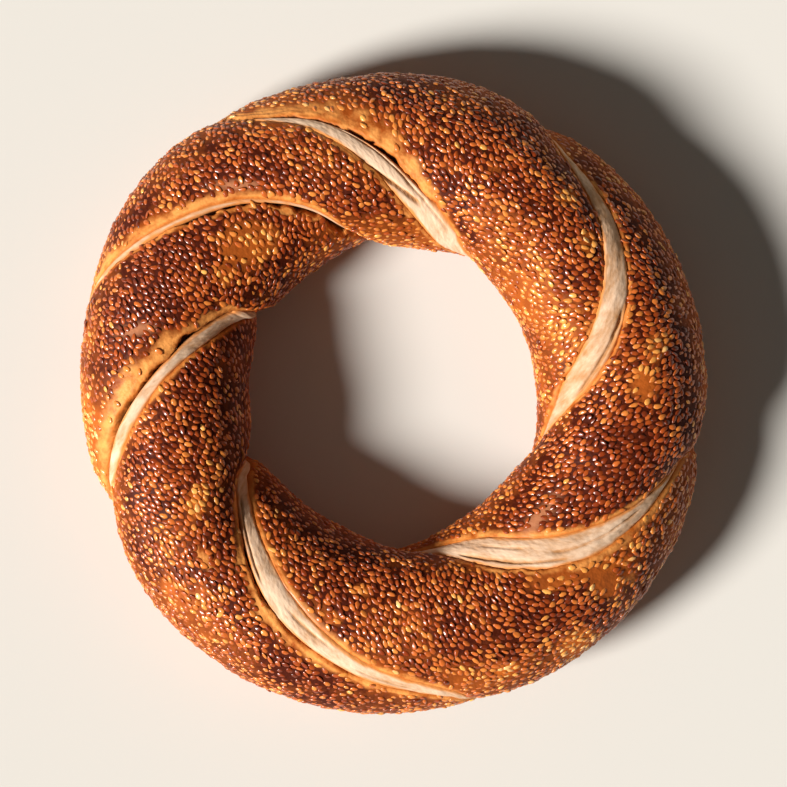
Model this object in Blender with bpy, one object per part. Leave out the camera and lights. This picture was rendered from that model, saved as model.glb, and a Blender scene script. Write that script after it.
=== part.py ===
"""A simit: a bread ring of two dough strands, twisted round each other and baked lying flat.

Metres, +Z up.  The ring rests on its flattened underside at z = 0, and its box is centred on the Z axis.
A place on the dough has two angles, both in degrees.  The ring angle runs anticlockwise from +X, seen
from above.  The section angle runs from the outer edge (0) over the top (90) to the hole (180) and on
underneath, back to the outer edge (360).
"""

from collections import namedtuple

import bmesh
import bpy
import numpy as np

# Driving dimensions
OUTER_RADIUS = 0.0920      # middle of the ring to the outside of a typical strand
HOLE_RADIUS = 0.0405       # middle of the ring to the hole side of a typical strand
HEIGHT = 0.0400            # tray to the top of a typical strand
FLATTENED = 0.0045         # how much of the round section the tray presses flat
TOP_DIP = 0.0030           # how far a seam lies below the strands on the top of the ring
PLUMPNESS = 3.0            # power of the curve across a strand: 2 is an arc, more is fuller shoulders

# Mesh resolution
STEPS_ROUND = 140          # sections round the ring
STEPS_STRAND = 18          # points across each strand in a section
SEAM_CROWDING = 0.45       # 0 spaces the points evenly, nearly 1 crowds them at the seams

FULL_TURN = 360.0
TWIST_TURNS = 3            # turns of the two strands about each other in one trip round the ring

# Where the two strands meet, clockwise round the ring.  The crossings are the ring angles at which the seam
# passes the section angles 0, 30 ... 180, from the outer edge over the top to the hole.  The dips are how
# deep it lies in the ring's outer edge and in the edge of the hole.
Seam = namedtuple("Seam", "crossings outer_dip hole_dip")
OUTER_EDGE, CREST, HOLE_EDGE = 0, 3, 6     # the crossings at section angles 0, 90 and 180
SEAMS = (
    Seam((124.5, 119.5, 106.7, 95.5, 84.9, 73, 61.5), 0.0010, 0.0038),
    Seam((61, 54, 36, 19, 5, -10, -25), 0.0052, 0.0034),
    Seam((-10, -14.5, -26.5, -42.6, -57.2, -73, -91.5), 0.0052, 0.0056),
    Seam((-74, -79.5, -98, -119, -136.8, -149.6, -155), 0.0020, 0.0080),
    Seam((-157.5, -164, -172.7, -183.6, -195, -205, -209.5), 0.0052, 0.0080),
    Seam((-195, -202.5, -214.3, -232, -245.5, -253.5, -261.5), 0.0012, 0.0036),
)

# The stretch of strand that follows each seam: how far it stands out past the typical radii and height.
Strand = namedtuple("Strand", "outwards into_hole upwards")
STRANDS = (
    Strand(-0.0014, 0.0009, 0.0000),
    Strand(-0.0028, -0.0005, -0.0006),
    Strand(0.0009, -0.0014, 0.0000),
    Strand(0.0021, -0.0011, 0.0005),
    Strand(-0.0016, -0.0003, -0.0010),
    Strand(0.0025, 0.0000, -0.0016),
)

CRUST_COLOUR = (0.330, 0.095, 0.028, 1.0)
CRUST_ROUGHNESS = 0.45


def smooth_through(x, knots_x, knots_y):
    """The smooth curve through the knots, read at x.

    Each stretch is a cubic.  The slope at a knot is the harmonic mean of the straight slopes on its two
    sides, or zero where those disagree in sign, so the curve never overshoots a knot.
    """
    gap = np.diff(knots_x)
    straight = np.diff(knots_y) / gap
    before, after = straight[:-1], straight[1:]
    agree = before * after > 0
    slope = np.zeros(len(knots_x))
    slope[1:-1][agree] = 2 * before[agree] * after[agree] / (before[agree] + after[agree])
    i = np.clip(np.searchsorted(knots_x, x, side="right") - 1, 0, len(gap) - 1)
    t = (x - knots_x[i]) / gap[i]
    return (knots_y[i] * (1 + 2 * t) * (1 - t) ** 2 + knots_y[i + 1] * (3 - 2 * t) * t**2
            + gap[i] * t * (1 - t) * (slope[i] * (1 - t) - slope[i + 1] * t))


def round_the_ring(clockwise, knots, values, gained=0.0):
    """smooth_through for something that repeats each trip round the ring, plus what it gains in a trip."""
    knots, values = np.asarray(knots, float), np.asarray(values, float)
    trips = (-1, 0, 1)
    return smooth_through(clockwise, np.concatenate([knots + FULL_TURN * n for n in trips]),
                          np.concatenate([values + gained * n for n in trips]))


def boundary(clockwise, seams):
    """Section angle and dip depth of one boundary between the strands, which shows as every second seam."""
    knots, angles, dip_knots, dips = [], [], [], []
    for turn, seam in enumerate(seams):
        knots += [-crossing for crossing in seam.crossings]
        angles += [FULL_TURN * turn + 30 * step for step in range(len(seam.crossings))]
        dip_knots += [-seam.crossings[place] for place in (OUTER_EDGE, CREST, HOLE_EDGE)]
        dips += [seam.outer_dip, TOP_DIP, seam.hole_dip]
    angle = round_the_ring(clockwise, knots, angles, FULL_TURN * TWIST_TURNS)
    return angle, round_the_ring(clockwise, dip_knots, dips)


def halfway(place):
    """Ring angles, clockwise, halfway along each strand between its two seams' crossings at a place."""
    angles = [seam.crossings[place] for seam in SEAMS]
    return [-(a + b) / 2 for a, b in zip(angles, angles[1:] + [angles[0] - FULL_TURN])]


def strand_sizes(clockwise):
    """Outer radius, hole radius and height of the ring, swelling from strand to strand."""
    outer = round_the_ring(clockwise, halfway(OUTER_EDGE), [OUTER_RADIUS + s.outwards for s in STRANDS])
    hole = round_the_ring(clockwise, halfway(HOLE_EDGE), [HOLE_RADIUS - s.into_hole for s in STRANDS])
    height = round_the_ring(clockwise, halfway(CREST), [HEIGHT + s.upwards for s in STRANDS])
    return outer, hole, height


def across_strand(steps):
    """Fractions 0 to 1 across a strand, crowded towards its two seams."""
    even = np.arange(steps) / steps
    return even - SEAM_CROWDING * np.sin(2 * np.pi * even) / (2 * np.pi)


def ring_sections():
    """Points of every section, as an array of sections by points by XYZ."""
    clockwise = np.arange(STEPS_ROUND) * FULL_TURN / STEPS_ROUND
    first, first_dip = boundary(clockwise, SEAMS[0::2])
    second, second_dip = boundary(clockwise, SEAMS[1::2])
    share = across_strand(STEPS_STRAND)[None, :]
    second_strand = (second[:, None] + share * (first - second)[:, None],
                     second_dip[:, None] + share * (first_dip - second_dip)[:, None])
    first_strand = (first[:, None] + share * (second + FULL_TURN - first)[:, None],
                    first_dip[:, None] + share * (second_dip - first_dip)[:, None])
    section = np.radians(np.hstack([second_strand[0], first_strand[0]]))
    dip = np.hstack([second_strand[1], first_strand[1]])
    valley = np.abs(2 * np.hstack([share, share]) - 1) ** PLUMPNESS

    outer, hole, height = (size[:, None] for size in strand_sizes(clockwise))
    half_width = (outer - hole) / 2
    half_height = (height + FLATTENED) / 2
    shrunk = 1 - valley * dip / half_width
    radius = (outer + hole) / 2 + half_width * shrunk * np.cos(section)
    z = np.maximum(half_height * (1 + shrunk * np.sin(section)) - FLATTENED, 0)
    turn = np.radians(-clockwise)[:, None]
    return np.stack([radius * np.cos(turn), radius * np.sin(turn), z], axis=-1)


def lofted_ring(name, sections):
    """A closed mesh of quads between neighbouring sections, the last joined to the first."""
    middle = (sections.max(axis=(0, 1)) + sections.min(axis=(0, 1))) / 2
    sections = sections - [middle[0], middle[1], 0]
    shaped = bmesh.new()
    rows = [[shaped.verts.new(point) for point in section] for section in sections]
    for row, next_row in zip(rows, rows[1:] + rows[:1]):
        for here in range(len(row)):
            before = here - 1
            shaped.faces.new((row[before], row[here], next_row[here], next_row[before]))
    bmesh.ops.triangulate(shaped, faces=shaped.faces, quad_method="SHORT_EDGE")
    bmesh.ops.recalc_face_normals(shaped, faces=shaped.faces)
    mesh = bpy.data.meshes.new(name)
    shaped.to_mesh(mesh)
    shaped.free()
    mesh.shade_smooth()
    return mesh


def crust_material():
    """Browned, slightly shiny crust."""
    material = bpy.data.materials.new("browned crust")
    material.use_nodes = True
    shader = material.node_tree.nodes["Principled BSDF"]
    shader.inputs["Base Color"].default_value = CRUST_COLOUR
    shader.inputs["Roughness"].default_value = CRUST_ROUGHNESS
    shader.inputs["Metallic"].default_value = 0.0
    return material


for old in list(bpy.data.objects):
    bpy.data.objects.remove(old)

collection = bpy.data.collections.new("simit")
bpy.context.scene.collection.children.link(collection)
simit = bpy.data.objects.new("simit", lofted_ring("simit", ring_sections()))
simit.data.materials.append(crust_material())
collection.objects.link(simit)
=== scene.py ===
# %% [markdown]
# # A simit, from the dough outwards
#
# A simit is a ring of bread. Two ropes of dough are twisted round each other, the ends are joined, and the
# ring is dipped in grape syrup, rolled in sesame and baked. The syrup browns into a dark, shiny crust. In
# the oven the dough swells, and where the two strands meet the crust splits and pale crumb shows.
#
# The lesson builds it in that order: the twisted crust, the torn dough in the splits, thousands of seeds,
# then the finishes, the floor, the lights and the camera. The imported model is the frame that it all
# hangs on, so it comes first. Everything is in metres, with +Z up.

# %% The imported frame
import math
from collections import namedtuple

import bpy
import numpy as np
from mathutils.kdtree import KDTree
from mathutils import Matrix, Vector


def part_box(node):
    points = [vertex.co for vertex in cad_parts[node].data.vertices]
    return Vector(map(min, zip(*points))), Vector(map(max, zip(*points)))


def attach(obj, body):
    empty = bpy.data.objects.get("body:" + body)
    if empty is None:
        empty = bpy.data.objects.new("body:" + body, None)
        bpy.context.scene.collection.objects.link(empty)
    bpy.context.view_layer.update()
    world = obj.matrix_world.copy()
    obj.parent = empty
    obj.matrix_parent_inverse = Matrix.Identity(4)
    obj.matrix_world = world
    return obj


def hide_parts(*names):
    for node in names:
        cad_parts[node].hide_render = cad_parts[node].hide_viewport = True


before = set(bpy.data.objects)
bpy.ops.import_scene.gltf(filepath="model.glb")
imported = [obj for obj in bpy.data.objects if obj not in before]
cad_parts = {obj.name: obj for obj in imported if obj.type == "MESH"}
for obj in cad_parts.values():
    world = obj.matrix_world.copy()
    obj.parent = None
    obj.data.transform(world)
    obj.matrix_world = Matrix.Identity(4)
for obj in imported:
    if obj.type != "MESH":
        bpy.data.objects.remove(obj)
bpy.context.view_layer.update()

low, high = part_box("simit")
print("frame:", [round(1000 * v, 1) for v in high - low], "mm")

# %% [markdown]
# ## Driving sizes
#
# The frame's box gives the size of everything. Typical strands reach slightly further than half the box's
# width, because a few flatter ones set the box. The rest is how a baker would describe the ring: where
# each seam starts at the outer edge, crosses the top and goes down into the hole, and how each strand
# swells. Ring angles run anticlockwise from +X. Section angles run from the outer edge (0) over the
# top (90) to the hole (180) and on underneath (270).

# %% Sizes of the ring
MM = 0.001
TURN = 360.0
TWIST_TURNS = 3

BOX_WIDTH = high.x - low.x
BOX_HEIGHT = high.z - low.z
OUTER_RADIUS = 0.5112 * BOX_WIDTH    # middle of the ring to the outside of a typical strand
HOLE_RADIUS = 0.2250 * BOX_WIDTH     # and to its hole side
HEIGHT = 0.9886 * BOX_HEIGHT         # tray to the top of a typical strand
FLATTENED = 0.1112 * BOX_HEIGHT      # how much of the round section the tray presses flat
TOP_DIP = 0.0741 * BOX_HEIGHT        # depth of a seam on the top
PLUMPNESS = 3.0                      # power of the curve across a strand: more is fuller shoulders
SEED_COAT = 0.45 * MM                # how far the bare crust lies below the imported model's surface
print(f"typical strands lie {HOLE_RADIUS / MM:.1f} to {OUTER_RADIUS / MM:.1f} mm from the middle")

# %% The seams and the strands between them
# A seam's crossings are the ring angles at which it passes the section angles in PLACES. Its dips are how
# deep it lies in the outer edge and in the edge of the hole. A strand follows each seam.
PLACES = (0, 30, 60, 90, 120, 150, 180)
Seam = namedtuple("Seam", "crossings outer_dip hole_dip")
SEAMS = (
    Seam((124.5, 119.5, 106.7, 95.5, 84.9, 73, 61.5), 1.0 * MM, 3.8 * MM),
    Seam((61, 54, 36, 19, 5, -10, -25), 5.2 * MM, 3.4 * MM),
    Seam((-10, -14.5, -26.5, -42.6, -57.2, -73, -91.5), 5.2 * MM, 5.6 * MM),
    Seam((-74, -79.5, -98, -119, -136.8, -149.6, -155), 2.0 * MM, 8.0 * MM),
    Seam((-157.5, -164, -172.7, -183.6, -195, -205, -209.5), 5.2 * MM, 8.0 * MM),
    Seam((-195, -202.5, -214.3, -232, -245.5, -253.5, -261.5), 1.2 * MM, 3.6 * MM),
)

# How far a strand stands out past the typical radii and height.
Strand = namedtuple("Strand", "outwards into_hole upwards")
STRANDS = (
    Strand(-1.4 * MM, 0.9 * MM, 0.0 * MM),
    Strand(-2.8 * MM, -0.5 * MM, -0.6 * MM),
    Strand(0.9 * MM, -1.4 * MM, 0.0 * MM),
    Strand(2.1 * MM, -1.1 * MM, 0.5 * MM),
    Strand(-1.6 * MM, -0.3 * MM, -1.0 * MM),
    Strand(2.5 * MM, 0.0 * MM, -1.6 * MM),
)

# %% How each seam has torn open
# All in millimetres, at the seven places over the top. Width is that of the pale dough. The margins are the
# smooth golden crust beside it, towards the outer edge (rim) and towards the hole. The gaps are the
# dark cracks between the pale dough and the crust on those two sides.
Split = namedtuple("Split", "width rim_margin hole_margin rim_gap hole_gap")
SPLITS = (
    Split((0, 0.3, 4.0, 5.6, 6.4, 8.0, 5.0), (3, 5, 6.5, 8, 5, 3, 2), (0.5, 1, 1.8, 2, 2.5, 2, 1),
          (0, 0.4, 0.8, 0.9, 0.4, 0, 0), (0, 0, 0, 0, 0, 0, 0)),
    Split((0.8, 2.8, 6.2, 8.2, 8.2, 3.8, 0), (1, 1.3, 1.5, 1.5, 1.5, 1.5, 0.5), (0.5, 1, 1, 1.2, 1.6, 2, 0.5),
          (0, 0.1, 0.1, 0.1, 0.1, 0, 0), (0, 0.2, 0.2, 0, 0, 0, 0)),
    Split((0, 0.8, 4.8, 8.6, 9.2, 5.2, 0.6), (1, 2, 3.2, 3.2, 2.6, 2, 0.5), (0.5, 1, 2, 2.8, 2.8, 2, 0.5),
          (0, 0.1, 0.1, 0, 0.1, 0.1, 0), (0, 0.1, 0.1, 0, 0, 0, 0)),
    Split((0.6, 3.4, 5.4, 7.6, 4.9, 3.8, 2.4), (2, 2.5, 3, 4, 3.5, 2, 1), (1.5, 2.5, 3, 2.5, 2.5, 2.5, 1),
          (0, 0, 0.1, 0.4, 0.3, 0.1, 0), (0, 0, 0, 0, 0, 0.1, 0)),
    Split((0.8, 3.6, 4.2, 3.4, 4.4, 5.2, 2.6), (3, 5, 7, 7, 5, 2.5, 1), (1, 1.5, 2, 1.8, 1.2, 1, 0.5),
          (0, 0.3, 0.7, 1.0, 0.7, 0.2, 0), (0, 0, 0.1, 0.1, 0.1, 0.1, 0)),
    Split((0.6, 1.6, 2.0, 1.4, 1.2, 0.8, 0), (6, 6, 5, 3.5, 2.5, 2, 1), (1, 1.2, 1.4, 1.5, 1.5, 1.2, 0.5),
          (0, 0.1, 0.1, 0, 0, 0, 0), (0, 0.1, 0.6, 1.5, 1.5, 1.2, 0.2)),
)

# Deeper tears along the pale dough: from and to section angles, and where they lie across it, from -1 at its
# edge nearest the rim to 1 at its edge nearest the hole, at either end.
Tear = namedtuple("Tear", "split start end across_start across_end width depth")
TEARS = (
    Tear(0, 90, 124, 0.95, -0.15, 0.14, 1.3),
    Tear(0, 75, 150, -0.72, -0.60, 0.06, 0.5),
    Tear(1, 92, 132, -0.72, -0.66, 0.10, 1.2),
    Tear(2, 62, 96, 0.05, -0.10, 0.10, 0.8),
    Tear(2, 96, 140, -0.62, -0.55, 0.09, 1.0),
    Tear(2, 108, 128, 0.25, 0.35, 0.07, 0.5),
    Tear(3, 70, 84, 0.30, 0.10, 0.14, 0.6),
    Tear(3, 44, 60, -0.35, -0.25, 0.08, 0.3),
    Tear(3, 100, 135, -0.55, -0.40, 0.12, 0.6),
)

# %% [markdown]
# ## Smooth curves through a few values
#
# Each seam is known at seven places and has to run smoothly between them, and so has everything that
# swells and fades round the ring. A cubic through the knots does it. Its slopes are chosen so that it never
# overshoots, because a seam that ran backwards would fold the dough through itself.

# %% smooth_through and round_the_ring
def smooth_through(x, knots_x, knots_y):
    """The smooth curve through the knots, read at x.

    Each stretch is a cubic. The slope at a knot is the harmonic mean of the straight slopes on its two
    sides, or zero where those disagree in sign.
    """
    knots_x, knots_y = np.asarray(knots_x, float), np.asarray(knots_y, float)
    gap = np.diff(knots_x)
    straight = np.diff(knots_y) / gap
    before, after = straight[:-1], straight[1:]
    agree = before * after > 0
    slope = np.zeros(len(knots_x))
    slope[1:-1][agree] = 2 * before[agree] * after[agree] / (before[agree] + after[agree])
    i = np.clip(np.searchsorted(knots_x, x, side="right") - 1, 0, len(gap) - 1)
    t = (x - knots_x[i]) / gap[i]
    return (knots_y[i] * (1 + 2 * t) * (1 - t) ** 2 + knots_y[i + 1] * (3 - 2 * t) * t**2
            + gap[i] * t * (1 - t) * (slope[i] * (1 - t) - slope[i + 1] * t))


def round_the_ring(clockwise, knots, values, gained=0.0):
    """smooth_through for what repeats each trip round the ring, plus what it gains in a trip."""
    knots, values = np.asarray(knots, float), np.asarray(values, float)
    trips = (-2, -1, 0, 1, 2)
    return smooth_through(clockwise, np.concatenate([knots + TURN * n for n in trips]),
                          np.concatenate([values + gained * n for n in trips]))


def ease(start, end, x):
    """0 below start, 1 above end, and the S-shaped 3t^2 - 2t^3 between."""
    t = np.clip((x - start) / (end - start), 0, 1)
    return t * t * (3 - 2 * t)


def cloud(points, size, seed):
    """Smooth random values from -1 to 1 in space, with lumps of the given size.

    Every corner of a cubic lattice gets a random value from a table, looked up by its scrambled whole
    coordinates. A point blends its cell's eight corners, each weighted by 3t^2 - 2t^3 along each axis.
    """
    table = np.random.default_rng(seed).uniform(-1, 1, 4096)
    place = points / size
    cell = np.floor(place).astype(np.int64)
    weight = ease(0, 1, place - cell)
    total = 0.0
    for corner in np.ndindex(2, 2, 2):
        at = cell + corner
        scrambled = (at[..., 0] * 73856093 ^ at[..., 1] * 19349663 ^ at[..., 2] * 83492791) % 4096
        total = total + table[scrambled] * np.prod(np.where(corner, weight, 1 - weight), axis=-1)
    return total


# %% [markdown]
# ## Tables round the ring
#
# The two strands meet along two boundaries, and each boundary shows on the top as every second seam. All
# that depends on the place round the ring is worked out once, in steps of a tenth of a degree, and read
# from there: the ring's radii and height, each boundary's section angle, how deep its valley is,
# how wide it has split, and how steeply it slants across the ring.

# %% The ring's own sizes, clockwise
clock = np.arange(-2 * TURN, 2 * TURN, 0.1)


def by_strand(place, values):
    """A table through one value for each strand, set halfway between its seams' crossings at a place."""
    angles = [seam.crossings[PLACES.index(place)] for seam in SEAMS]
    halfway = [-(a + b) / 2 for a, b in zip(angles, angles[1:] + [angles[0] - TURN])]
    return round_the_ring(clock, halfway, values)


outer_table = by_strand(0, [OUTER_RADIUS + s.outwards for s in STRANDS])
hole_table = by_strand(180, [HOLE_RADIUS - s.into_hole for s in STRANDS])
height_table = by_strand(90, [HEIGHT + s.upwards for s in STRANDS])
middle_table = (outer_table + hole_table) / 2
half_width_table = (outer_table - hole_table) / 2
half_height_table = (height_table + FLATTENED) / 2
print(f"strands {2 * half_width_table.min() / MM:.1f} to {2 * half_width_table.max() / MM:.1f} mm wide")


def read(table, clockwise):
    """A table's value at clockwise ring angles."""
    return np.interp(clockwise, clock, table)


def stretch(clockwise, section):
    """Metres of surface for each radian of section angle: the arc speed of the section's ellipse."""
    around = np.radians(section)
    return np.hypot(read(half_width_table, clockwise) * np.sin(around),
                    read(half_height_table, clockwise) * np.cos(around))


# %% The two boundaries
def boundary_tables(seams, splits):
    """Everything about one boundary, as a dict of tables over `clock`.

    `angle` is its section angle, which gains three turns in a trip round the ring. What the splits state is
    read by that angle, and fades to nothing 30 degrees past the outer edge and the hole. `slant` is the
    cosine of the angle between the boundary and the ring's own direction.
    """
    gained = TURN * TWIST_TURNS
    knots = [-crossing for seam in seams for crossing in seam.crossings]
    angles = [TURN * turn + place for turn in range(len(seams)) for place in PLACES]
    dip_knots = [-seam.crossings[PLACES.index(place)] for seam in seams for place in (0, 90, 180)]
    dips = [dip for seam in seams for dip in (seam.outer_dip, TOP_DIP, seam.hole_dip)]
    made = {"angle": round_the_ring(clock, knots, angles, gained),
            "dip": round_the_ring(clock, dip_knots, dips)}
    turned = np.mod(made["angle"] + 30, gained) - 30
    at = [TURN * turn + place for turn in range(len(splits)) for place in (-30, *PLACES, 210)]
    for name in Split._fields:
        values = [v for split in splits for v in (0, *getattr(split, name), 0)]
        made[name] = MM * smooth_through(turned, [-31] + at + [gained - 29], [0] + values + [0])
    radius = middle_table + half_width_table * np.cos(np.radians(made["angle"]))
    climb = np.gradient(made["angle"], clock) * stretch(clock, made["angle"]) / radius
    made["slant"] = 1 / np.hypot(1, climb)
    return made


boundaries = (boundary_tables(SEAMS[0::2], SPLITS[0::2]), boundary_tables(SEAMS[1::2], SPLITS[1::2]))
for seam, split in zip(SEAMS, SPLITS):
    print(f"seam from {seam.crossings[0]} to {seam.crossings[-1]} degrees, split {max(split.width)} mm wide")

# %% [markdown]
# ## The surface of the dough
#
# One function places any point: a flattened ellipse carried round the ring, drawn in by a depth. Another
# gives that depth for the crust. It falls into a valley between the strands, drops into a groove under
# each split, rises in a thin lip beside it, and is uneven all over as baked dough is. The
# crust and the seeds both read it, so that the seeds sit on what is really there.

# %% place: from two angles and a depth to a point
def place(clockwise, section, depth):
    """Points of the dough.

    The section is an ellipse scaled by 1 - depth / half width about its middle. Its middle runs round the
    ring, and what would lie under the tray is brought up to the tray, more gently the nearer it is.
    """
    around, turn = np.radians(section), np.radians(-clockwise)
    half_width, half_height = read(half_width_table, clockwise), read(half_height_table, clockwise)
    shrunk = 1 - depth / half_width
    radius = read(middle_table, clockwise) + half_width * shrunk * np.cos(around)
    z = half_height * (1 + shrunk * np.sin(around)) - FLATTENED
    return np.stack([radius * np.cos(turn), radius * np.sin(turn), z], axis=-1)


# %% across: how far a point lies from each boundary
def across(edge, clockwise, section):
    """Signed metres from a boundary, square to it: positive towards the hole, negative to the outer edge."""
    at = read(edge["angle"], clockwise)
    away = np.mod(section - at + TURN / 2, TURN) - TURN / 2
    return np.radians(away) * stretch(clockwise, at + away / 2) * read(edge["slant"], clockwise)


def beside(edge, clockwise, offset):
    """Section angle at a signed distance from a boundary: `across` turned round, by three corrections."""
    at, slant = read(edge["angle"], clockwise), read(edge["slant"], clockwise)
    away = 0 * offset
    for _ in range(3):
        away = np.degrees(offset / (stretch(clockwise, at + away / 2) * slant))
    return at + away


def valley(clockwise, section):
    """Depth of the valleys: the boundary's dip times |2s - 1| to the power PLUMPNESS, s across the strand."""
    first, second = (read(edge["angle"], clockwise) for edge in boundaries)
    first_dip, second_dip = (read(edge["dip"], clockwise) for edge in boundaries)
    span = np.mod(first - second, TURN)
    past = np.mod(section - second, TURN)
    in_second = past < span
    share = np.where(in_second, past / span, (past - span) / (TURN - span))
    to_first = np.where(in_second, share, 1 - share)
    return (second_dip + to_first * (first_dip - second_dip)) * np.abs(2 * share - 1) ** PLUMPNESS


# %% nearest_split: what the crust needs to know about the split beside it
def on_this_side(edge, size, clockwise, to_hole):
    """A split's gap or margin, the hole's where to_hole is true and the rim's elsewhere."""
    return np.where(to_hole, read(edge["hole_" + size], clockwise), read(edge["rim_" + size], clockwise))


def nearest_split(clockwise, section):
    """Distance from the nearer boundary and the split's sizes on this side of it, as a dict of arrays."""
    nearest = None
    for edge in boundaries:
        away = across(edge, clockwise, section)
        to_hole = away > 0
        found = dict(away=np.abs(away), half=read(edge["width"], clockwise) / 2,
                     gap=on_this_side(edge, "gap", clockwise, to_hole),
                     margin=on_this_side(edge, "margin", clockwise, to_hole))
        if nearest is None:
            nearest = found
        else:
            closer = found["away"] < nearest["away"]
            nearest = {k: np.where(closer, found[k], nearest[k]) for k in found}
    return nearest


# %% crust_shape: depth and finish of the crust
GROOVE = 2.4 * MM
LIP = 0.12 * MM
PINCH = 0.5 * MM
WRINKLE = 0.08 * MM
RAGGED = 0.48 * MM


def crust_shape(clockwise, section):
    """Depth of the crust, how golden it is, and how far inside a groove, as a dict of arrays.

    The depth is the seed coat's, the valley's and the lumps', plus a groove inside the split's edge, less
    a soft lip beside it. Golden fades from 1 at the split's edge to 0 past the margin, with wrinkles along
    the seam in it. The brink is the crust's thin browned edge. Where the seam hasn't opened, a narrow
    pinch marks it.
    """
    plain = place(clockwise, section, 0)
    wander = cloud(plain, 5 * MM, 11) + 0.6 * cloud(plain, 2.1 * MM, 12)
    flakes = cloud(plain, 1.2 * MM, 17)
    seam = nearest_split(clockwise, section)
    opened = ease(0.10 * MM, 0.6 * MM, seam["half"])
    crack = seam["gap"] * np.maximum(1 + 0.8 * wander + 0.4 * flakes, 0)
    beyond = seam["away"] - seam["half"] - crack - opened * RAGGED * (0.7 * wander + 0.5 * flakes)
    groove = 1 - ease(-0.50 * MM, 0.08 * MM, beyond)
    pinch = np.exp(-(seam["away"] / (0.6 * MM)) ** 2)
    lip = np.exp(-((beyond - 1.2 * MM) / (1.1 * MM)) ** 2)
    share = beyond / np.maximum(seam["margin"], 0.3 * MM)
    golden = ease(0.2 * MM, 1.5 * MM, seam["margin"]) * (1 - ease(0.35, 1.25, share + 0.35 * wander))
    wrinkles = golden * (1 - groove) * np.sin(beyond / (0.23 * MM) + 2.2 * wander)
    lumps = (0.45 * cloud(plain, 13 * MM, 13) + 0.18 * cloud(plain, 4.5 * MM, 14)
             + 0.06 * cloud(plain, 1.6 * MM, 15)) * MM
    depth = (SEED_COAT + valley(clockwise, section) + lumps * (1 - 0.3 * golden)
             + opened * (GROOVE * groove - LIP * lip * (1 + 0.5 * wander)) + (1 - opened) * PINCH * pinch
             + WRINKLE * wrinkles)
    brink = opened * np.exp(-((beyond - 0.1 * MM) / (0.55 * MM)) ** 2)
    return dict(depth=depth, golden=golden, groove=groove * opened, brink=brink, beyond=beyond)


# %% on_the_tray: the flat underside
TRAY_GAP = 0.25 * MM
TRAY_SOFTNESS = 0.9 * MM


def on_the_tray(points, lift=TRAY_GAP):
    """Points pressed up onto the tray: z becomes (z + sqrt(z^2 + softness^2)) / 2, measured from the lift."""
    z = points[..., 2] - lift
    pressed = (z + np.sqrt(z * z + TRAY_SOFTNESS**2)) / 2
    rounded = np.where(z > 6 * TRAY_SOFTNESS, z, pressed)
    flat_share = ease(0, 2 * TRAY_SOFTNESS, -z)
    return np.concatenate([points[..., :2], (rounded * (1 - flat_share) + lift)[..., None]], axis=-1)


round_about, over = np.meshgrid(np.arange(0, TURN, 0.5), np.arange(0, TURN, 1.0), indexing="ij")
plain = place(round_about, over, valley(round_about, over))[..., :2]
MIDDLE = np.array([*(plain.max(axis=(0, 1)) + plain.min(axis=(0, 1))) / 2, 0])
print("middle of the box, in mm:", np.round(MIDDLE / MM, 2))


def dough(clockwise, section, depth):
    """Finished points: placed, pressed on the tray, and with the frame's box in the middle."""
    return on_the_tray(place(clockwise, section, depth)) - MIDDLE


# %% [markdown]
# ## Putting arrays into a mesh
#
# Faces and points are worked out as whole arrays, so the mesh takes them in one go with foreach_set. A grid
# that closes both ways gives the crust. The helper also stores named values for each point, which the
# finishes read later.

# %% make_piece
def make_piece(name, points, faces, values):
    """A smooth mesh object from points (n, 3), a list of arrays of faces (m, corners), and a dict of named
    point values."""
    corners = np.concatenate([each.ravel() for each in faces]).astype(np.int32)
    sizes = np.concatenate([np.full(len(each), each.shape[1]) for each in faces])
    mesh = bpy.data.meshes.new(name)
    mesh.vertices.add(len(points))
    mesh.vertices.foreach_set("co", np.ascontiguousarray(points, np.float32).ravel())
    mesh.loops.add(len(corners))
    mesh.loops.foreach_set("vertex_index", corners)
    mesh.polygons.add(len(sizes))
    mesh.polygons.foreach_set("loop_start", np.concatenate([[0], np.cumsum(sizes)[:-1]]).astype(np.int32))
    mesh.update(calc_edges=True)
    mesh.validate()
    mesh.shade_smooth()
    for key, value in values.items():
        layer = mesh.attributes.new(key, "FLOAT", "POINT")
        layer.data.foreach_set("value", np.ascontiguousarray(value, np.float32).ravel())
    piece = bpy.data.objects.new(name, mesh)
    bpy.context.scene.collection.objects.link(piece)
    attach(piece, "root")
    print(f"{name}: {len(points)} points, {int((sizes - 2).sum())} triangles")
    return piece


def closed_grid(rows, columns):
    """Quads of a grid that closes both ways, facing out when rows run clockwise and columns over the top."""
    at = np.arange(rows * columns).reshape(rows, columns)
    right, down = np.roll(at, -1, axis=1), np.roll(at, -1, axis=0)
    return np.stack([at, down, np.roll(down, -1, axis=1), right], axis=-1).reshape(-1, 4)


def tube_faces(grid, first, last):
    """Quads between the rings in a grid of point numbers, and triangles to a first and a last point."""
    right = np.roll(grid, -1, axis=1)
    quads = np.stack([grid[:-1], grid[1:], right[1:], right[:-1]], -1).reshape(-1, 4)
    caps = np.vstack([np.stack([0 * grid[0] + first, grid[0], right[0]], -1),
                      np.stack([0 * grid[0] + last, right[-1], grid[-1]], -1)])
    return [quads, caps]
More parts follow.
